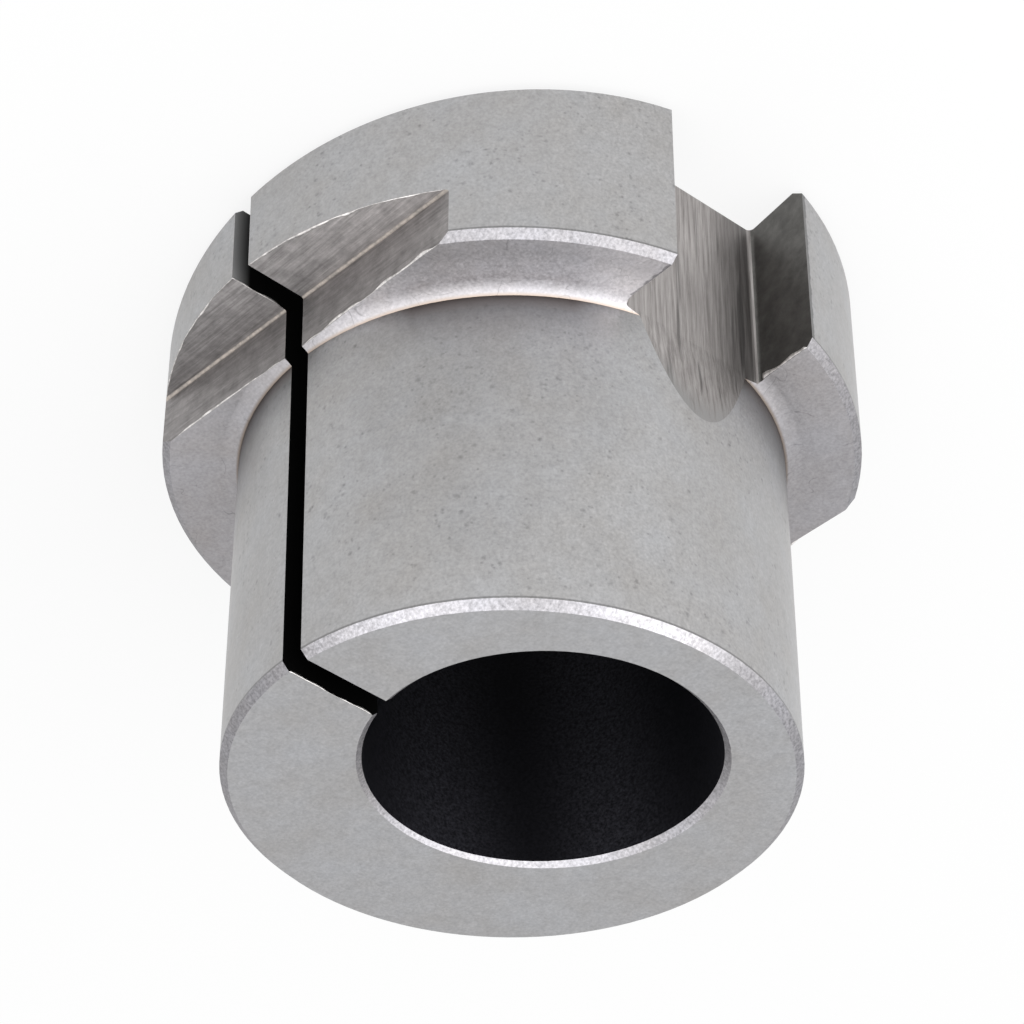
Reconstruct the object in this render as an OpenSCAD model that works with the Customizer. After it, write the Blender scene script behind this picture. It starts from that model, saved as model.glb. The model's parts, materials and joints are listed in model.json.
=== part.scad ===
// Camber adjusting bushing: a split steel sleeve with a wedge-shaped head and an inclined bore.
// Units are millimetres. The bushing stands on its head face at z = 0, with the stud bore along Z.
// +X points to the notch side, where the head is thickest, and +Y points to the slit.

/* [Sleeve] */
// Outside diameter of the sleeve
body_d = 35; // [33:0.5:37]
// Length of the sleeve from the seat face to the small end
body_l = 24; // [20:0.5:30]
// Chamfer round the small end
end_chamfer = 0.5; // [0.2:0.1:1]
// Radius of the fillet between the sleeve and the seat face
root_fillet = 1.9; // [1.5:0.1:2.4]
// Width of the fillet on the seat face, less than its radius where the sleeve cuts it short
root_reach = 1.2; // [0.5:0.1:1.5]

/* [Head] */
// Outside diameter of the head
head_d = 44.8; // [43:0.2:50]
// Thickness of the head, measured along the sleeve axis
head_t = 10.5; // [9:0.5:14]
// Bevel round the head at the seat face
head_bevel = 0.5; // [0.2:0.1:1]
// Chamfer round the head at its end face
head_chamfer = 0.6; // [0.3:0.1:1.2]

/* [Bore] */
// Diameter of the stud bore
bore_d = 21.5; // [17:0.5:23]
// Angle between the stud bore and the sleeve axis, in degrees
bore_tilt = 8; // [4:0.5:9]
// Offset of the bore from the sleeve axis at the small end
bore_shift = 2.8; // [1:0.1:3.5]
// Chamfer at both ends of the bore
bore_chamfer = 0.4; // [0.2:0.1:0.8]

/* [Slit] */
// Width of the slit that lets the sleeve close
slit_w = 1.6; // [1:0.1:3]
// Lean of the slit from the sleeve axis, in degrees
slit_lean = 1.6; // [0:0.2:3]

/* [Wrench flats] */
// Distance of each flat outside the sleeve surface
flats_out = 0.5; // [0.1:0.1:1.5]
// Height of each flat, from the seat face to its shoulder
flats_h = 4; // [2:0.5:5]
// Turn of both flats from the slit, in degrees
flats_turn = -1.4; // [-3:0.2:3]
// Radius of the corner between each flat and its shoulder
flats_corner = 0.2; // [0.1:0.1:0.8]

/* [Notch] */
// Width of the notch through the head
notch_w = 11.3; // [6:0.1:14]
// Depth of the notch floor under the sleeve surface
notch_depth = 0.6; // [0.3:0.1:1.2]
// Length of the ramp where the notch floor runs out on the sleeve
notch_run = 6.6; // [3:0.2:10]
// Turn of the notch from the thickest side of the head, in degrees
notch_turn = 1.5; // [-4:0.5:4]
// Radius of the corners between the notch floor and its walls
notch_corner = 0.4; // [0.1:0.1:0.8]

/* [Hidden] */
$fn = 96;
sleeve_r = body_d / 2;
head_r = head_d / 2;
bore_r = bore_d / 2;
flat_y = sleeve_r + flats_out;
notch_floor = sleeve_r - notch_depth;
total_h = body_l + head_t;
// Foot of the sleeve axis on the head face, measured from the bore
foot_x = total_h * sin(bore_tilt) - bore_shift * cos(bore_tilt);
// Overlap of the cutting shapes past the surfaces they open on
over = 1;
// Depth of the blank and the cutting shapes below the foot of the sleeve axis
past = head_r * tan(bore_tilt) + 3 * over;
// Size of the shapes that cut right across or right through
across = 4 * head_d;
steel = [0.68, 0.68, 0.69];

bushing();

// Sleeve frame: its Z runs along the sleeve axis from the head face to the small end
module on_sleeve() {
  translate([foot_x, 0, 0])
    rotate([0, -bore_tilt, 0])
      children();
}

// Half section of the turned blank, with the head left long for the wedge cut
module blank_section() {
  polygon([
    [0, -past],
    [head_r, -past],
    [head_r, head_t - head_bevel],
    [head_r - head_bevel, head_t],
    [sleeve_r, head_t],
    [sleeve_r, total_h - end_chamfer],
    [sleeve_r - end_chamfer, total_h],
    [0, total_h]
  ]);
  root_section();
}

// Section of the fillet, tangent to the seat face and ending in an edge on the sleeve
module root_section() {
  difference() {
    translate([sleeve_r - over, head_t - over])
      square([root_reach + over, root_fillet + over]);
    translate([sleeve_r + root_reach, head_t + root_fillet])
      circle(r = root_fillet);
  }
}

// Everything below the head face, which is square to the bore and leaves the head wedge-shaped
module wedge_cut() {
  translate([-across / 2, -across / 2, -across])
    cube(across);
}

// Chamfer round the head face
module rim_cut() {
  translate([foot_x, 0, 0])
    rotate_extrude()
      polygon([
        [head_r - head_chamfer - over, -over],
        [head_r + over, -over],
        [head_r + over, head_chamfer + over]
      ]);
}

// Straight stud bore with a chamfer at the head face
module bore_cut() {
  cylinder(r = bore_r, h = across, center = true);
  translate([0, 0, -over])
    cylinder(r1 = bore_r + bore_chamfer + over, r2 = bore_r - over, h = bore_chamfer + 2 * over);
}

// Chamfer of the bore at the small end, square to the small-end face
module mouth_cut() {
  translate([bore_shift, 0, total_h - bore_chamfer - over])
    cylinder(r1 = bore_r - over, r2 = bore_r + bore_chamfer + over, h = bore_chamfer + 2 * over);
}

// Saw slit through one side, from the bore to the outside
module slit_cut() {
  translate([0, 0, total_h / 2])
    rotate([0, slit_lean, 0])
      translate([-slit_w / 2, 0, -across / 2])
        cube([slit_w, head_d, across]);
}

// Section across a wrench flat, with a rounded corner between the flat and its shoulder
module flat_section() {
  translate([flat_y, head_t - flats_h]) {
    translate([flats_corner, 0])
      square([head_d, flats_h + root_fillet + over]);
    translate([0, flats_corner])
      square([head_d, flats_h + root_fillet + over - flats_corner]);
    translate([flats_corner, flats_corner])
      circle(r = flats_corner);
  }
}

// One wrench flat: a step milled into the head from the seat face down to a square shoulder
module flat_cut() {
  rotate([90, 0, 90])
    linear_extrude(height = 2 * head_d, center = true)
      flat_section();
}

// Section across the notch, measured from its floor, with rounded corners at both walls
module notch_section() {
  translate([notch_corner, -notch_w / 2])
    square([head_d, notch_w]);
  translate([0, notch_corner - notch_w / 2])
    square([head_d, notch_w - 2 * notch_corner]);
  for (side = [-1, 1])
    translate([notch_corner, side * (notch_w / 2 - notch_corner)])
      circle(r = notch_corner);
}

// Block that is left standing under the ramp, where the notch floor runs out on the sleeve
module notch_ramp() {
  translate([0, 0, head_t])
    rotate([0, atan(notch_depth / notch_run), 0])
      translate([-head_d, -head_d, 0])
        cube([head_d, 2 * head_d, across]);
}

// Notch through the head, with a floor that ramps out on the sleeve
module notch_cut() {
  rotate([0, 0, notch_turn])
    translate([notch_floor, 0, 0])
      difference() {
        translate([0, 0, -past])
          linear_extrude(height = past + total_h)
            notch_section();
        notch_ramp();
      }
}

module bushing() {
  color(steel)
    difference() {
      on_sleeve()
        rotate_extrude()
          blank_section();
      wedge_cut();
      rim_cut();
      on_sleeve()
        mouth_cut();
      bore_cut();
      on_sleeve() {
        slit_cut();
        rotate([0, 0, flats_turn])
          flat_cut();
        rotate([0, 0, flats_turn + 180])
          flat_cut();
        notch_cut();
      }
    }
}
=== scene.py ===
"""Camber adjusting bushing: one steel piece on a pale floor, dressed for its picture."""

import json
import math

import bmesh
import bpy
import mathutils.noise
from mathutils import Matrix, Vector

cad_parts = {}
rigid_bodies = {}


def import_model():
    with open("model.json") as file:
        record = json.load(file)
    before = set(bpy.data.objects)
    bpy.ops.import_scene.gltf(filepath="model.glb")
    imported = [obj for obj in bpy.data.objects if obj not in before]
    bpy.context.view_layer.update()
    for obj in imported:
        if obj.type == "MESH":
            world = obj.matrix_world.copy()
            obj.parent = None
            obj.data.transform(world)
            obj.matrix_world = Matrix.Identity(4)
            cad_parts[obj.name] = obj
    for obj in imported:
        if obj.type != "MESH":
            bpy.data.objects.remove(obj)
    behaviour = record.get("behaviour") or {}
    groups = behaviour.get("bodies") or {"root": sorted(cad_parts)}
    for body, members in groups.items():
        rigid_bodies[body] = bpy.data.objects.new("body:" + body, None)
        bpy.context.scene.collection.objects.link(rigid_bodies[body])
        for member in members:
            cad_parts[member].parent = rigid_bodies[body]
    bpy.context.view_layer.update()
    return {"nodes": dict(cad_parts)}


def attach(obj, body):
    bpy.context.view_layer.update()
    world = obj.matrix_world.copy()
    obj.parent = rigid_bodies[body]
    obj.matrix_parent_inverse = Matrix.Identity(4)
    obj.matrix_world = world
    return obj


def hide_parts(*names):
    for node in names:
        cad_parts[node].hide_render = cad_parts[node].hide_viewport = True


for spare in list(bpy.data.objects):
    bpy.data.objects.remove(spare)

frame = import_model()

MM = 0.001

# Sizes of the bushing, as its solid has them
BORE_R = 10.75 * MM
BORE_TILT = math.radians(8)
SLEEVE_R = 17.5 * MM
SLEEVE_FOOT_X = 2.0287 * MM
SEAT_Z = 10.5 * MM
ROOT_TOP_Z = 10.93 * MM
HEAD_R = 22.4 * MM
HEAD_BEVEL = 0.5 * MM
BEVEL_R = 21.8 * MM
END_Z = 34.0 * MM
MOUTH_REACH = 14.5 * MM
SHOULDER_Z = 6.5 * MM
FLAT_Y = 18.0 * MM
FLATS_TURN = math.radians(-1.4)
FLAT_CORNER = 0.2 * MM
NOTCH_FLOOR_X = 16.9 * MM
NOTCH_HALF_W = 5.65 * MM
NOTCH_TURN = math.radians(1.5)
NOTCH_RAMP = 0.6 / 6.6
NOTCH_CORNER = 0.4 * MM
SLIT_HALF_W = 0.8 * MM
SLIT_LEAN = math.radians(1.6)
SLIT_MID_Z = 17.25 * MM

# How near a face has to lie to the place where its cutter ran
NEAR = 0.04 * MM

# Share of a face's normal along a direction: on a face that points that way, the least in the corners
# of the notch and of the flats, the range on a chamfer, the least on the root's fillet, and the most
# along Z on the bore's wall
FACING = 0.99
NOTCH_CORNER_SHARE = 0.1
FLAT_CORNER_SHARE = 0.05
CHAMFER_SHARE = 0.6, 0.8
ROOT_SHARE = 0.3
BORE_SHARE = 0.2

# Corners closer than this are welded, and faces within this angle are joined
WELD = 0.0002 * MM
FLAT_WITHIN = math.radians(0.4)

# Turn from which an edge is shaded as a sharp one
SHARP_FROM = math.radians(25)

# Burrs: their usual radius, and how far towards the notch it doubles
BURR_R = 0.08 * MM
BURR_HEAVY_X = 25 * MM

# Where a burr lies, in radii: its depth under the outer face, and what stands proud of the cut face
BURR_DEPTH = 1.05
BURR_PROUD = 0.6

# Thickness of a burr, in shares of its radius: the least, the usual, its swing, and that of its ends
BURR_LEAST = 0.15
BURR_USUAL = 0.75
BURR_SWING = 1.6
BURR_END = 0.2

# How often a burr's thickness changes, and the steps and sides of its rings
BURR_CHANGES = 0.8 / MM
BURR_STEP = 0.25 * MM
BURR_SIDES = 8

# Lines of the cutter on the flats, as cells a millimetre along each axis of the sleeve
MILLED = 0.25, 4.5, 4.5

# Soft bands of painted light beside the sleeve's root and in the bore, as how close they are and where they
# begin
ROOT_LIGHT_BANDS = 0.018, 0.18
BORE_LIGHT_BANDS = 0.03, -0.86

# Tints: the warm and cool clouds of the tumbled steel, the brown of the painted shade at the root and
# the tan line there, the notch's run-out, and painted light on the slit's walls at the rim
WARM = 0.96, 0.945, 0.93
COOL = 1.03, 1.04, 1.06
SHADE_BROWN = 0.46, 0.405, 0.39
TAN = 0.40, 0.325, 0.27
RUN_OUT = 0.35, 0.345, 0.342
LIT_WALL = 0.18, 0.18, 0.18

# Axes for patterns, as an origin and a turn: the row frame, the sleeve's own, those with X square
# to the notch's floor, and those with X towards the camera
ROW_AXES = (0, 0, 0), (0, 0, 0)
SLEEVE_AXES = (SLEEVE_FOOT_X, 0, 0), (0, -BORE_TILT, 0)
NOTCH_LEAN = Matrix.Rotation(-BORE_TILT, 3, "Y") @ Matrix.Rotation(NOTCH_TURN, 3, "Z")
NOTCH_AXES = (SLEEVE_FOOT_X, 0, 0), NOTCH_LEAN.to_euler()
FRONT_AXES = (0, 0, 0), (0, 0, math.radians(47))

# Camera: place and axes, from the photograph's perspective
CAMERA_AT = Vector((107.2368, 116.5267, 171.5284)) * MM
CAMERA_RIGHT = Vector((0.666823, -0.739362, 0.093223))
CAMERA_UP = Vector((0.571237, 0.426794, -0.701095))
CAMERA_LENS = 123.694

# Floor: half its width, its gap under the bushing, its glow, and the share of the glow where it is
# seen and where it is mirrored
FLOOR_HALF_W = 1.5
FLOOR_GAP = 0.02 * MM
FLOOR_GLOW = 0.97
FLOOR_SEEN = 0.85
FLOOR_MIRRORED = 0.6


# Frames of the cuts

def turn(point, angle):
    """The point in a frame that is turned by an angle about the sleeve axis."""
    c, s = math.cos(angle), math.sin(angle)
    return Vector((c * point.x + s * point.y, c * point.y - s * point.x, point.z))


def lean(point, angle):
    """The point in a frame that is turned by an angle about Y."""
    c, s = math.cos(angle), math.sin(angle)
    return Vector((c * point.x - s * point.z, point.y, s * point.x + c * point.z))


def in_sleeve(point):
    """A point of the row frame in the frame of the sleeve, which leans from the bore."""
    return lean(point - Vector((SLEEVE_FOOT_X, 0, 0)), -BORE_TILT)


# Finishes by region, in the order of the piece's material slots
TUMBLED, END, SEAT, CHAMFER, SHOULDER, FLAT, CORNER, NOTCH_FLOOR, NOTCH_WALL, BORE, SLIT = range(11)


def between(value, low, high):
    """Whether a value lies in a range, give or take a little."""
    return low - NEAR < value < high + NEAR


def region_of(face):
    """The finish of a face of the solid, from where it lies and where it points."""
    middle, normal = face.calc_center_median(), face.normal
    if math.hypot(middle.x, middle.y) < BORE_R + NEAR and abs(normal.z) < BORE_SHARE:
        return BORE
    at, to = in_sleeve(middle), lean(normal, -BORE_TILT)
    slit_at, slit_to = lean(at - Vector((0, 0, SLIT_MID_Z)), SLIT_LEAN), lean(to, SLIT_LEAN)
    if at.y > 0 and abs(slit_to.x) > FACING and between(abs(slit_at.x), SLIT_HALF_W, SLIT_HALF_W):
        return SLIT
    notch_at, notch_to = turn(at, NOTCH_TURN), turn(to, NOTCH_TURN)
    floor_x = NOTCH_FLOOR_X + max(0, at.z - SEAT_Z) * NOTCH_RAMP
    inwards = -notch_to.y * math.copysign(1, notch_at.y)
    in_corner = between(notch_at.x, floor_x, floor_x + NOTCH_CORNER) and between(
        abs(notch_at.y), NOTCH_HALF_W - NOTCH_CORNER, NOTCH_HALF_W)
    on_floor = notch_to.x > FACING and between(notch_at.x, floor_x, floor_x)
    if on_floor or in_corner and notch_to.x > max(inwards, NOTCH_CORNER_SHARE):
        return NOTCH_FLOOR
    at_side = notch_at.x > NOTCH_FLOOR_X and between(abs(notch_at.y), NOTCH_HALF_W, NOTCH_HALF_W)
    if at_side and inwards > FACING or in_corner and inwards > NOTCH_CORNER_SHARE:
        return NOTCH_WALL
    flat_y, flat_to = abs(turn(at, FLATS_TURN).y), abs(turn(to, FLATS_TURN).y)
    on_shoulder = between(at.z, SHOULDER_Z, SHOULDER_Z + FLAT_CORNER) and to.z > FLAT_CORNER_SHARE
    on_flat = between(flat_y, FLAT_Y, FLAT_Y + FLAT_CORNER) and flat_to > FLAT_CORNER_SHARE
    if on_shoulder and to.z > FACING:
        return SHOULDER
    if on_flat and flat_to > FACING:
        return FLAT
    if on_shoulder and on_flat:
        return CORNER
    least, most = CHAMFER_SHARE
    on_bevel = between(at.z, SEAT_Z - HEAD_BEVEL, SEAT_Z) and at.xy.length > BEVEL_R
    if least < to.z < most and (at.z > END_Z + NEAR or on_bevel):
        return CHAMFER
    if between(at.z, SEAT_Z, ROOT_TOP_Z) and to.z > ROOT_SHARE:
        return SEAT
    if at.z > END_Z and to.z > FACING:
        return END
    return TUMBLED


def finishes_beside(edge):
    """The finishes of the two faces at an edge, the outer one first."""
    return tuple(sorted(f.material_index for f in edge.link_faces))


def is_sharp(edge):
    """Whether an edge is shaded as a sharp one: it turns far, or bounds the notch, the bore or the slit."""
    outer, cut = finishes_beside(edge)
    return edge.calc_face_angle() > SHARP_FROM or outer < NOTCH_FLOOR <= cut


# Burrs

def has_burr(edge):
    """Whether an edge has a burr: round the flats, at the notch's seat side and beside the slit."""
    finishes = finishes_beside(edge)
    at = in_sleeve((edge.verts[0].co + edge.verts[1].co) / 2)
    milled = finishes in ((TUMBLED, SHOULDER), (TUMBLED, FLAT), (SEAT, FLAT), (SEAT, NOTCH_WALL))
    sawn = at.x < 0 and finishes in ((SHOULDER, SLIT), (END, SLIT))
    return edge.is_convex and (milled or sawn)


def strings(edges):
    """The edges strung together end to end, as lists of corners."""
    beside = {}
    for edge in edges:
        for corner, other in (edge.verts, reversed(edge.verts)):
            beside.setdefault(corner, []).append(other)
    ends = [c for c in beside if len(beside[c]) == 1]
    for corner in ends + list(beside):
        while beside[corner]:
            string = [corner]
            while beside[string[-1]]:
                string.append(beside[string[-1]].pop(0))
                beside[string[-1]].remove(string[-2])
            yield string


def steps_along(string):
    """Even steps along a string of corners: the place, the outer face's normal and the cut face's."""
    for one, two in zip(string, string[1:]):
        edge = next(e for e in one.link_edges if e.other_vert(one) is two)
        outer, cut = (f.normal for f in sorted(edge.link_faces, key=lambda f: f.material_index))
        count = max(1, round(edge.calc_length() / BURR_STEP))
        for i in range(count):
            yield one.co.lerp(two.co, i / count), outer, cut
    yield two.co, outer, cut


def burr_ring(bm, place, outer, cut, along, share):
    """The edges of one ring of a burr, just under the outer face and a little proud of the cut face."""
    swing = BURR_SWING * mathutils.noise.noise(place * BURR_CHANGES)
    uneven = max(BURR_LEAST, BURR_USUAL + swing)
    radius = BURR_R * share * uneven * (1 + place.x / BURR_HEAVY_X)
    middle = place - outer * radius * BURR_DEPTH - cut * radius * (1 - BURR_PROUD)
    up = (outer - along * outer.dot(along)).normalized()
    axes = Matrix((up, along.cross(up), along)).transposed().to_4x4()
    pose = Matrix.Translation(middle) @ axes
    ring = bmesh.ops.create_circle(
        bm, cap_ends=share < 1, segments=BURR_SIDES, radius=radius, matrix=pose)
    return list(dict.fromkeys(edge for vert in ring["verts"] for edge in vert.link_edges))


def burr(bm, string):
    """A thin uneven burr along a string of corners, which thins out at its two ends."""
    steps = []
    for step in steps_along(string):
        if not steps or (step[0] - steps[-1][0]).length > BURR_STEP / 2:
            steps.append(step)
    last = len(steps) - 1
    if last < 2:
        return
    rings = []
    for i, (place, outer, cut) in enumerate(steps):
        along = (steps[min(i + 1, last)][0] - steps[max(i - 1, 0)][0]).normalized()
        share = BURR_END if i in (0, last) else 1
        rings.append(burr_ring(bm, place, outer, cut, along, share))
    for one, two in zip(rings, rings[1:]):
        bmesh.ops.bridge_loops(bm, edges=one + two)


# Shaders

def add(tree, kind, settings=None, **inputs):
    """A node of a kind, with its settings and the plain values of its inputs."""
    made = tree.nodes.new(kind)
    for name, value in (settings or {}).items():
        setattr(made, name, value)
    for name, value in inputs.items():
        made.inputs[name.replace("_", " ")].default_value = value
    return made


def millimetres(tree, scale=(1, 1, 1), axes=ROW_AXES):
    """Coordinates on the object in millimetres, along a set of axes, with a scale along each of them."""
    place = add(tree, "ShaderNodeTexCoord")
    mapping = add(tree, "ShaderNodeMapping", {"vector_type": "TEXTURE"})
    mapping.inputs["Location"].default_value, mapping.inputs["Rotation"].default_value = axes
    mapping.inputs["Scale"].default_value = [MM / s for s in scale]
    tree.links.new(place.outputs["Object"], mapping.inputs["Vector"])
    return mapping.outputs["Vector"]


def coordinate(tree, name, axes=ROW_AXES):
    """One coordinate on the object in millimetres, along a set of axes."""
    parts = add(tree, "ShaderNodeSeparateXYZ")
    tree.links.new(millimetres(tree, axes=axes), parts.inputs[0])
    return parts.outputs[name]


def sleeve_radius(tree):
    """Distance from the sleeve axis, in millimetres."""
    flat = add(tree, "ShaderNodeVectorMath", {"operation": "MULTIPLY"})
    flat.inputs[1].default_value = (1, 1, 0)
    tree.links.new(millimetres(tree, axes=SLEEVE_AXES), flat.inputs[0])
    size = add(tree, "ShaderNodeVectorMath", {"operation": "LENGTH"})
    tree.links.new(flat.outputs["Vector"], size.inputs[0])
    return size.outputs["Value"]


def noise(tree, coordinates, scale, detail=2.0, roughness=0.5, distortion=0.0):
    """A noise pattern with so many cells a millimetre."""
    made = add(tree, "ShaderNodeTexNoise", Scale=scale, Detail=detail, Roughness=roughness,
               Distortion=distortion)
    tree.links.new(coordinates, made.inputs["Vector"])
    return made.outputs["Fac"]


def span(tree, value, low, high, to_low=0, to_high=1):
    """A value mapped from one range to another, and held inside it."""
    made = add(tree, "ShaderNodeMapRange", From_Min=low, From_Max=high, To_Min=to_low, To_Max=to_high)
    tree.links.new(value, made.inputs["Value"])
    return made.outputs["Result"]


def stretched(tree, pattern, low=0, high=1):
    """A noise pattern, whose values keep to the middle, mapped to a whole range."""
    return span(tree, pattern, 0.3, 0.7, low, high)


def where(tree, share, value):
    """A factor that is 1 where a share is 0, and goes to a value where the share is 1."""
    return span(tree, share, 0, 1, 1, value)


def product(tree, *values):
    """Values multiplied together."""
    result = values[0]
    for value in values[1:]:
        result = math_node(tree, "MULTIPLY", result, value)
    return result


def math_node(tree, operation, a, b):
    """Two values put together."""
    made = add(tree, "ShaderNodeMath", {"operation": operation})
    for socket, value in zip(made.inputs, (a, b)):
        if isinstance(value, (int, float)):
            socket.default_value = value
        else:
            tree.links.new(value, socket)
    return made.outputs["Value"]


def tinted(tree, factor, low, high):
    """A colour between two colours."""
    made = add(tree, "ShaderNodeMix", {"data_type": "RGBA"})
    tree.links.new(factor, made.inputs[0])
    for socket, colour in ((made.inputs[6], low), (made.inputs[7], high)):
        if isinstance(colour, tuple):
            socket.default_value = (*colour, 1)
        else:
            tree.links.new(colour, socket)
    return made.outputs[2]


def shaded(tree, colour, value):
    """A colour made lighter or darker by a value."""
    made = add(tree, "ShaderNodeVectorMath", {"operation": "SCALE"})
    tree.links.new(colour, made.inputs[0])
    tree.links.new(value, made.inputs["Scale"])
    return made.outputs["Vector"]


def bump(tree, height, distance, strength):
    """Surface relief from a pattern, with its height in metres."""
    made = add(tree, "ShaderNodeBump", Strength=strength, Distance=distance)
    tree.links.new(height, made.inputs["Height"])
    return made.outputs["Normal"]


def metal(name):
    """A new material and its surface shader."""
    material = bpy.data.materials.new(name)
    material.use_nodes = True
    surface = material.node_tree.nodes["Principled BSDF"]
    surface.inputs["Metallic"].default_value = 1.0
    return material, material.node_tree, surface


def tumbled_steel(name, tint, contrast, relief, crowd, sheen, light_and_wear=None):
    """Matte steel from the tumbler: sandy grain, small dark pits, faint clouds, and its own painted light,
    shade and wear.
    """
    material, tree, surface = metal(name)
    surface.inputs["Specular Tint"].default_value = (sheen, sheen, sheen, 1)
    place = millimetres(tree)
    clouds = stretched(tree, noise(tree, place, 0.22, 5.0, 0.6))
    warm = tuple(t * c for t, c in zip(tint, WARM))
    cool = tuple(t * c for t, c in zip(tint, COOL))
    grain = noise(tree, place, 5.0, 3.0, 0.6)
    fine = span(tree, grain, 0.25, 0.75, 1 - contrast, 1 + contrast)
    mottle = stretched(tree, noise(tree, place, 1.6, 4.0, 0.7), 0.93, 1.07)
    dark = product(tree, pits(tree, place, 1.5, crowd), pits(tree, place, 2.5, crowd))
    colour = shaded(tree, tinted(tree, clouds, warm, cool), product(tree, fine, mottle, dark))
    # Painted light and shade, with any scratches, laid over the colour.
    tree.links.new(light_and_wear(tree, colour) if light_and_wear else colour, surface.inputs["Base Color"])
    tree.links.new(stretched(tree, grain, 0.40, 0.52), surface.inputs["Roughness"])
    tree.links.new(bump(tree, grain, 0.015 * MM, relief), surface.inputs["Normal"])
    return material


def pits(tree, place, scale, crowd):
    """Small dark pits, crowded in some places and rarer in others: 1 beside them, less inside."""
    cells = add(tree, "ShaderNodeTexVoronoi", {"feature": "F1"}, Scale=scale, Randomness=1.0)
    tree.links.new(place, cells.inputs["Vector"])
    lot = add(tree, "ShaderNodeSeparateColor")
    tree.links.new(cells.outputs["Color"], lot.inputs[0])
    chance = span(tree, noise(tree, place, 0.28, 3.0), 0.4, 0.7, 0.4 * crowd, 2.5 * crowd)
    radius = span(tree, math_node(tree, "SUBTRACT", chance, lot.outputs[0]), 0, 0.3, 0, 0.26)
    ragged = stretched(tree, noise(tree, place, 6.0, 2.0), -0.08, 0.08)
    inside = math_node(tree, "ADD", math_node(tree, "SUBTRACT", cells.outputs["Distance"], radius), ragged)
    return span(tree, inside, -0.25, 0.08, 0.7, 1)


def painted_light_bands(tree, scale, phase):
    """Soft upright bands of painted light, side by side as the camera sees them: 1 on them, less beside
    them.
    """
    settings = {"wave_type": "BANDS", "bands_direction": "Y"}
    bands = add(tree, "ShaderNodeTexWave", settings, Scale=scale, Phase_Offset=phase)
    tree.links.new(millimetres(tree, axes=FRONT_AXES), bands.inputs["Vector"])
    return bands.outputs["Fac"]


def sleeve_shade_and_lines(tree, colour):
    """Painted shade on the sleeve: darker beside its root, browner where darkest, and at its front; thin
    darker lines along edges.
    """
    height = coordinate(tree, "Z", SLEEVE_AXES)
    on_sleeve = math_node(tree, "GREATER_THAN", height, SEAT_Z / MM)
    slow = noise(tree, millimetres(tree), 0.16, 2.0)
    # Painted shade beside the sleeve's root: it climbs from the fillet, higher towards -Y.
    reach = span(tree, coordinate(tree, "Y"), -12, -4, 8.0, 5.2)
    climb = math_node(tree, "DIVIDE", math_node(tree, "SUBTRACT", height, ROOT_TOP_Z / MM), reach)
    root = math_node(tree, "POWER", where(tree, climb, 0), 2.2)
    front = coordinate(tree, "X", FRONT_AXES)
    # Painted bands of light at the front hold the painted root shade off; dark is that painted shade.
    bands = span(tree, painted_light_bands(tree, *ROOT_LIGHT_BANDS), 0.6, 1)
    lit_bands = product(tree, bands, span(tree, front, 8, 14, 0, 0.85))
    dark = product(tree, root, on_sleeve, where(tree, lit_bands, 0))
    # Painted shade at the front, the side towards the camera, fading out before the end.
    forward = math_node(tree, "ADD", front, math_node(tree, "MULTIPLY", slow, 6))
    before_end = span(tree, height, 30, END_Z / MM, 1, 0)
    mid_shade = product(tree, span(tree, forward, 17, 21), before_end, on_sleeve)
    lines = product(
        tree,
        edge_line(tree, height, SEAT_Z - HEAD_BEVEL),
        edge_line(tree, height, END_Z),
        wall_line(tree, side=-1, out=19, width=0.35))
    # Painted shade, tinted brown where the root shade is deepest, with thin darker lines along edges.
    root_and_mid_shade = product(tree, where(tree, dark, 0.2), where(tree, mid_shade, 0.85))
    browned_shade = tinted(tree, span(tree, dark, 0.6, 1), colour, SHADE_BROWN)
    return shaded(tree, browned_shade, product(tree, root_and_mid_shade, lines))


def seat_light_and_scratches(tree, colour):
    """The seat face, with painted light: paler at the front and near the root, with a tan line there
    painted darker at its sides, and a few scratches.
    """
    radius = sleeve_radius(tree)
    towards_camera = coordinate(tree, "X", FRONT_AXES)
    front = span(tree, towards_camera, 0, 17)
    middle = span(tree, towards_camera, 9, 16)
    # A painted highlight on the root's fillet, towards the camera.
    outer, inner = span(tree, radius, 18.7, 20.8, 1, 0), span(tree, radius, 17.9, 18.7, 0.4, 1)
    root_highlight = product(tree, outer, inner, middle)
    swirl = math_node(tree, "SUBTRACT", noise(tree, millimetres(tree), 0.35, 2.0, 0.5, 0.6), 0.5)
    swirl = math_node(tree, "MAXIMUM", swirl, math_node(tree, "MULTIPLY", swirl, -1))
    here = span(tree, noise(tree, millimetres(tree), 0.5, 1.0), 0.5, 0.6)
    scratch = product(tree, span(tree, swirl, 0, 0.008, 1, 0), here)
    height = coordinate(tree, "Z", SLEEVE_AXES)
    # A tan line at the root, painted darker at the sides.
    tan = span(tree, height, ROOT_TOP_Z / MM - 0.14, ROOT_TOP_Z / MM)
    shaded_tan_sides = product(tree, tan, where(tree, middle, 0))
    # Painted light: paler towards the camera, the painted highlight at the root and painted bands of light.
    shade = product(
        tree,
        span(tree, front, 0, 1, 0.88, 1.13),
        where(tree, root_highlight, 1.6),
        span(tree, product(tree, painted_light_bands(tree, *ROOT_LIGHT_BANDS), front), 0.6, 1, 1, 1.16),
        where(tree, scratch, 0.7),
        wall_line(tree, side=1, out=17.6, width=0.18),
        where(tree, shaded_tan_sides, 0.55))
    return shaded(tree, tinted(tree, tan, colour, TAN), shade)


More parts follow.
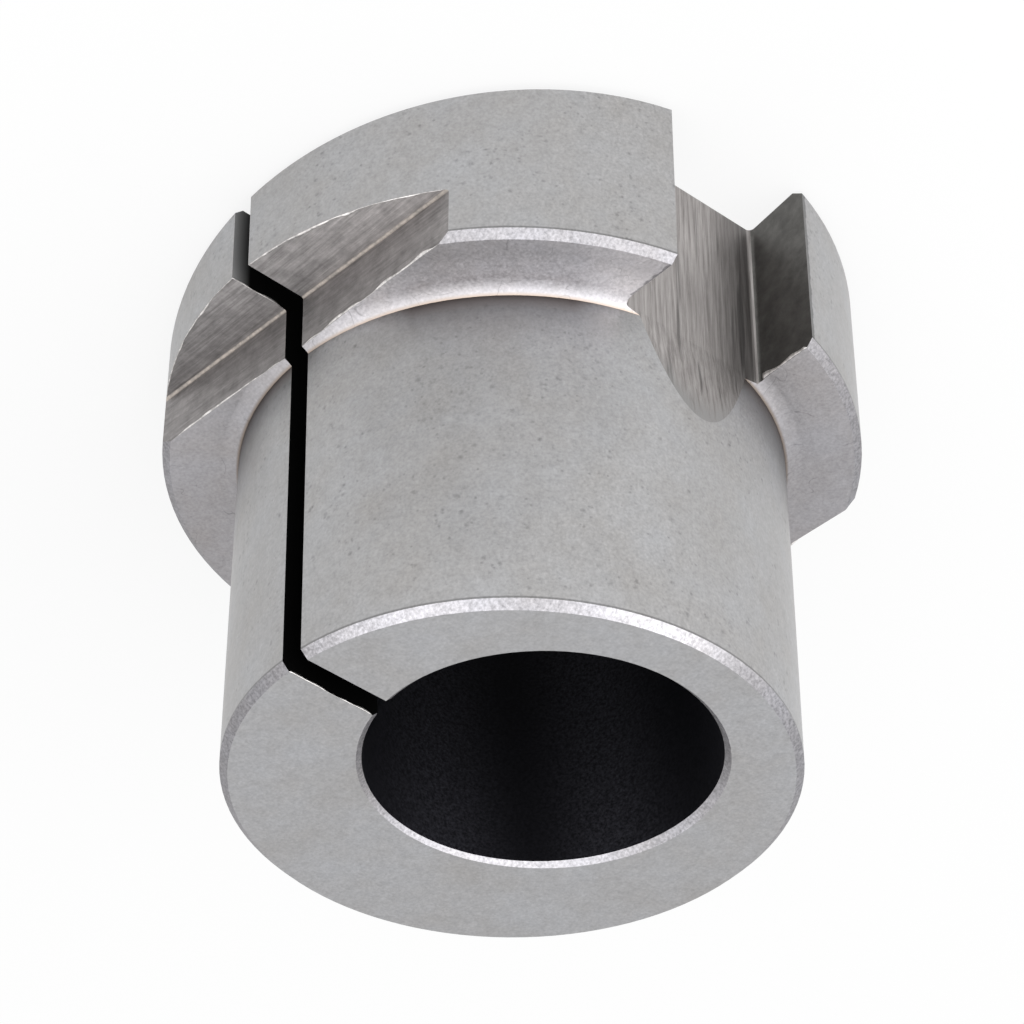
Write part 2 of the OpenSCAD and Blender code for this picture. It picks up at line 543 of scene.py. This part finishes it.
def chamfer_painted_light(tree, colour):
    """The chamfers, with painted highlights: brighter at the front, at both sides of the end's front, and
    inside the mouth.
    """
    front = coordinate(tree, "X", FRONT_AXES)
    # A painted highlight on the mouth's chamfer, on its far side, which faces the camera.
    at_mouth = math_node(tree, "LESS_THAN", sleeve_radius(tree), MOUTH_REACH / MM)
    mouth = product(tree, at_mouth, span(tree, front, -7, -1, 1, 0))
    height = coordinate(tree, "Z", SLEEVE_AXES)
    at_end = math_node(tree, "GREATER_THAN", height, SEAT_Z / MM + 1)
    # Painted bands of light on the end's chamfer, beside its front.
    beside = product(tree, painted_light_bands(tree, *ROOT_LIGHT_BANDS), at_end, span(tree, front, 6, 11))
    bright = product(tree, where(tree, mouth, 1.6), where(tree, beside, 1.5))
    # Painted light: brighter towards the camera.
    return shaded(tree, colour, product(tree, span(tree, front, 8, 13.5, 0.84, 1.05), bright))


def edge_line(tree, height, top):
    """A thin darker line that ends at a height: less than 1 on it, 1 elsewhere."""
    below = span(tree, height, top / MM - 0.18, top / MM - 0.11, 1, 0.6)
    return math_node(tree, "MAXIMUM", below, math_node(tree, "GREATER_THAN", height, top / MM + 0.02))


def wall_line(tree, side, out, width):
    """A thin ragged darker line beside one wall of the notch, from so far out: 1 elsewhere."""
    across = math_node(tree, "MULTIPLY", coordinate(tree, "Y", NOTCH_AXES), side)
    beyond = math_node(tree, "SUBTRACT", across, NOTCH_HALF_W / MM)
    ragged = stretched(tree, noise(tree, millimetres(tree), 2.0, 3.0), -0.08, 0.08)
    line = span(tree, math_node(tree, "ADD", beyond, ragged), width - 0.08, width, 1, 0)
    far_out = math_node(tree, "GREATER_THAN", coordinate(tree, "X", NOTCH_AXES), out)
    here = product(tree, math_node(tree, "GREATER_THAN", beyond, -0.05), far_out)
    return where(tree, product(tree, line, here), 0.5)


def milled_steel(name, scale, low, high, roughness, ends=(1, 1)):
    """Milled steel with the lines of the cutter, in uneven patches, and lighter at one end if asked."""
    material, tree, surface = metal(name)
    lay = noise(tree, millimetres(tree, scale, SLEEVE_AXES), 1.0, 5.0, 0.7, 0.2)
    patches = stretched(tree, noise(tree, millimetres(tree), 0.9, 4.0, 0.7), 0.76, 1.22)
    lighter = span(tree, coordinate(tree, "X"), -6, 9, *ends)
    colour = tinted(tree, stretched(tree, lay), low, high)
    tree.links.new(shaded(tree, colour, product(tree, patches, lighter)), surface.inputs["Base Color"])
    surface.inputs["Roughness"].default_value = roughness
    tree.links.new(bump(tree, lay, 0.02 * MM, 0.8), surface.inputs["Normal"])
    return material


def shaded_notch_floor():
    """The notch's floor: deep lines, a painted shade on its far side with a bright corner, and a run-out
    that fades.
    """
    material, tree, surface = metal("notch_floor")
    lay = noise(tree, millimetres(tree, (4.5, 4.5, 0.2), SLEEVE_AXES), 1.0, 5.0, 0.7, 0.2)
    grooves = noise(tree, millimetres(tree, (1.6, 1.6, 0.08), SLEEVE_AXES), 1.0, 2.0)
    colour = tinted(tree, span(tree, lay, 0.32, 0.68), (0.25, 0.232, 0.225), (0.51, 0.485, 0.475))
    across = coordinate(tree, "Y", NOTCH_AXES)
    corner = (NOTCH_CORNER - NOTCH_HALF_W) / MM
    # Painted shade darkening the floor towards its far wall, and a bright line in the corner.
    shade_and_corner = product(
        tree,
        span(tree, across, -5.4, -1.4, 0.45, 1.0),
        span(tree, across, corner - 0.03, corner + 0.03, 1.9, 1.0))
    groove = span(tree, grooves, 0.3, 0.38, 0.55, 1.0)
    colour = shaded(tree, colour, product(tree, shade_and_corner, groove))
    radius = math_node(tree, "ADD", sleeve_radius(tree), stretched(tree, lay, -0.1, 0.1))
    height = coordinate(tree, "Z", SLEEVE_AXES)
    fading = product(tree, span(tree, radius, 17.27, SLEEVE_R / MM), span(tree, height, 13, 16))
    tree.links.new(tinted(tree, fading, colour, RUN_OUT), surface.inputs["Base Color"])
    surface.inputs["Roughness"].default_value = 0.5
    tree.links.new(bump(tree, lay, 0.025 * MM, 0.8), surface.inputs["Normal"])
    return material


def dark_steel(name, colour, speck, gloss):
    """The unlit walls of the bore and the slit: near black, mottled, in painted paler bands of light, with
    painted light at the rim.
    """
    material, tree, surface = metal(name)
    surface.inputs["Metallic"].default_value = 0.0
    surface.inputs["Specular IOR Level"].default_value = gloss
    surface.inputs["Roughness"].default_value = 0.6
    mottle = span(tree, noise(tree, millimetres(tree), 5.0, 4.0, 0.75), 0.38, 0.7, 0.1, 1)
    # Painted bands of light on the dark walls.
    factor = product(tree, mottle, span(tree, painted_light_bands(tree, *BORE_LIGHT_BANDS), 0, 1, 0.2, 1))
    # Painted light on the walls near the rim.
    rim_light = span(tree, sleeve_radius(tree), 21, HEAD_R / MM)
    walls = tinted(tree, rim_light, tinted(tree, factor, colour, speck), LIT_WALL)
    tree.links.new(walls, surface.inputs["Base Color"])
    return material


def bright_steel(name, dark, bright):
    """Burnished corners and burrs, brighter than the faces beside them, in uneven patches."""
    material, tree, surface = metal(name)
    patches = span(tree, noise(tree, millimetres(tree), 2.5, 3.0, 0.6), 0.35, 0.65)
    tree.links.new(tinted(tree, patches, dark, bright), surface.inputs["Base Color"])
    surface.inputs["Roughness"].default_value = 0.4
    return material


# The pieces

def solid_mesh():
    """The bushing's solid, with flat faces joined, a finish on each face and its sharp edges marked."""
    bm = bmesh.new()
    bm.from_mesh(frame["nodes"]["bushing"].data)
    bmesh.ops.remove_doubles(bm, verts=bm.verts, dist=WELD)
    bmesh.ops.dissolve_limit(bm, angle_limit=FLAT_WITHIN, verts=bm.verts, edges=bm.edges)
    bm.normal_update()
    for face in bm.faces:
        face.material_index = region_of(face)
        face.smooth = True
    for edge in bm.edges:
        edge.smooth = not is_sharp(edge)
    return bm


def new_piece(name, bm, materials):
    """A piece of the scene from a mesh and its materials."""
    mesh = bpy.data.meshes.new(name)
    bm.to_mesh(mesh)
    for material in materials:
        mesh.materials.append(material)
    piece = bpy.data.objects.new(name, mesh)
    bpy.context.scene.collection.objects.link(piece)
    return piece


def bushing_piece(bm):
    """The bushing, with a finish on each kind of face."""
    piece = new_piece("steel_bushing", bm, (
        tumbled_steel("tumbled_steel", tint=(0.41, 0.407, 0.408), contrast=0.16, relief=0.5,
                      crowd=0.32, sheen=1.0, light_and_wear=sleeve_shade_and_lines),
        tumbled_steel("turned_end", tint=(0.425, 0.424, 0.43), contrast=0.14, relief=0.5,
                      crowd=0.04, sheen=0.5),
        tumbled_steel("turned_seat", tint=(0.435, 0.422, 0.434), contrast=0.18, relief=0.7,
                      crowd=0.1, sheen=0.4, light_and_wear=seat_light_and_scratches),
        tumbled_steel("bright_chamfer", tint=(0.37, 0.362, 0.378), contrast=0.4, relief=1.0,
                      crowd=0.1, sheen=0.8, light_and_wear=chamfer_painted_light),
        milled_steel("milled_shoulder", MILLED, low=(0.255, 0.243, 0.241), high=(0.49, 0.468, 0.466),
                     roughness=0.55, ends=(0.82, 1.5)),
        milled_steel("milled_flat", MILLED, low=(0.225, 0.214, 0.212), high=(0.37, 0.353, 0.349),
                     roughness=0.55),
        bright_steel("bright_corner", dark=(0.32, 0.295, 0.275), bright=(0.55, 0.49, 0.44)),
        shaded_notch_floor(),
        milled_steel("notch_wall", (1, 1, 1), low=(0.115, 0.112, 0.107), high=(0.145, 0.142, 0.135),
                     roughness=0.45),
        dark_steel("dark_bore", (0.0035, 0.0035, 0.0045), speck=(0.036, 0.036, 0.044), gloss=0.05),
        dark_steel("dark_slit", (0.001, 0.001, 0.001), speck=(0.004, 0.004, 0.004), gloss=0.02),
    ))
    shading = piece.modifiers.new("even_shading", "WEIGHTED_NORMAL")
    shading.keep_sharp = True
    return piece


def burr_piece(solid):
    """The burrs along the edges of the solid that were milled or sawn."""
    bm = bmesh.new()
    kinds = {}
    for edge in filter(has_burr, solid.edges):
        kinds.setdefault(finishes_beside(edge), []).append(edge)
    for edges in kinds.values():
        for string in strings(edges):
            burr(bm, string)
    bmesh.ops.recalc_face_normals(bm, faces=bm.faces)
    for face in bm.faces:
        face.smooth = True
    finish = bright_steel("bright_burr", dark=(0.5, 0.485, 0.475), bright=(0.95, 0.92, 0.9))
    piece = new_piece("burrs", bm, (finish,))
    bm.free()
    return piece


# The studio

def pale_floor():
    """A finish that is nearly white where it is seen or mirrored, and keeps a faint shadow."""
    material = bpy.data.materials.new("pale_floor")
    material.use_nodes = True
    tree = material.node_tree
    tree.nodes.clear()
    out = add(tree, "ShaderNodeOutputMaterial")
    mix = add(tree, "ShaderNodeMixShader")
    diffuse = add(tree, "ShaderNodeBsdfDiffuse", Color=(0.8, 0.8, 0.8, 1))
    glow = add(tree, "ShaderNodeEmission", Color=(1, 1, 1, 1), Strength=FLOOR_GLOW)
    path = add(tree, "ShaderNodeLightPath").outputs
    mirrored = math_node(tree, "MULTIPLY", path["Is Glossy Ray"], FLOOR_MIRRORED)
    looked_at = math_node(tree, "MAXIMUM", path["Is Camera Ray"], path["Is Transmission Ray"])
    seen = math_node(tree, "MULTIPLY", looked_at, FLOOR_SEEN)
    tree.links.new(math_node(tree, "MAXIMUM", mirrored, seen), mix.inputs[0])
    tree.links.new(diffuse.outputs[0], mix.inputs[1])
    tree.links.new(glow.outputs[0], mix.inputs[2])
    tree.links.new(mix.outputs[0], out.inputs["Surface"])
    return material


def floor():
    """A pale floor under the bushing."""
    bm = bmesh.new()
    bmesh.ops.create_grid(bm, x_segments=1, y_segments=1, size=FLOOR_HALF_W)
    bmesh.ops.translate(bm, verts=bm.verts, vec=(0, 0, -FLOOR_GAP))
    plane = new_piece("floor", bm, (pale_floor(),))
    bm.free()


def sky():
    """Even light from all round."""
    world = bpy.data.worlds.new("studio")
    world.use_nodes = True
    background = world.node_tree.nodes["Background"]
    background.inputs["Color"].default_value = (0.98, 0.98, 0.98, 1)
    background.inputs["Strength"].default_value = 1.0
    bpy.context.scene.world = world


def lamp(name, place, aim, size, power):
    """A soft square lamp that shines from a place at a point."""
    data = bpy.data.lights.new(name, "AREA")
    data.shape = "SQUARE"
    data.size = size
    data.energy = power
    made = bpy.data.objects.new(name, data)
    made.location = place
    made.rotation_mode = "QUATERNION"
    made.rotation_quaternion = (aim - place).to_track_quat("-Z", "Y")
    bpy.context.scene.collection.objects.link(made)


def camera():
    """The camera, at the photograph's place and angle."""
    data = bpy.data.cameras.new("camera")
    data.sensor_width = 36.0
    data.lens = CAMERA_LENS
    data.clip_start = 0.01
    made = bpy.data.objects.new("camera", data)
    axes = Matrix((CAMERA_RIGHT, CAMERA_UP, CAMERA_RIGHT.cross(CAMERA_UP))).transposed().to_4x4()
    made.matrix_world = Matrix.Translation(CAMERA_AT) @ axes
    bpy.context.scene.collection.objects.link(made)
    bpy.context.scene.camera = made


solid = solid_mesh()
bushing = bushing_piece(solid)
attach(bushing, "root")
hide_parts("bushing")
burrs = burr_piece(solid)
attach(burrs, "root")
solid.free()

floor()
sky()
camera()
middle = Vector((0, 0, 18)) * MM
front_place = CAMERA_AT * 1.4 + CAMERA_RIGHT * 60 * MM
side_place = Vector((300, -220, 160)) * MM
lamp("front", front_place, aim=middle, size=700 * MM, power=1.5)
lamp("side", side_place, aim=middle, size=600 * MM, power=0.7)
bpy.context.scene.view_settings.view_transform = "Standard"
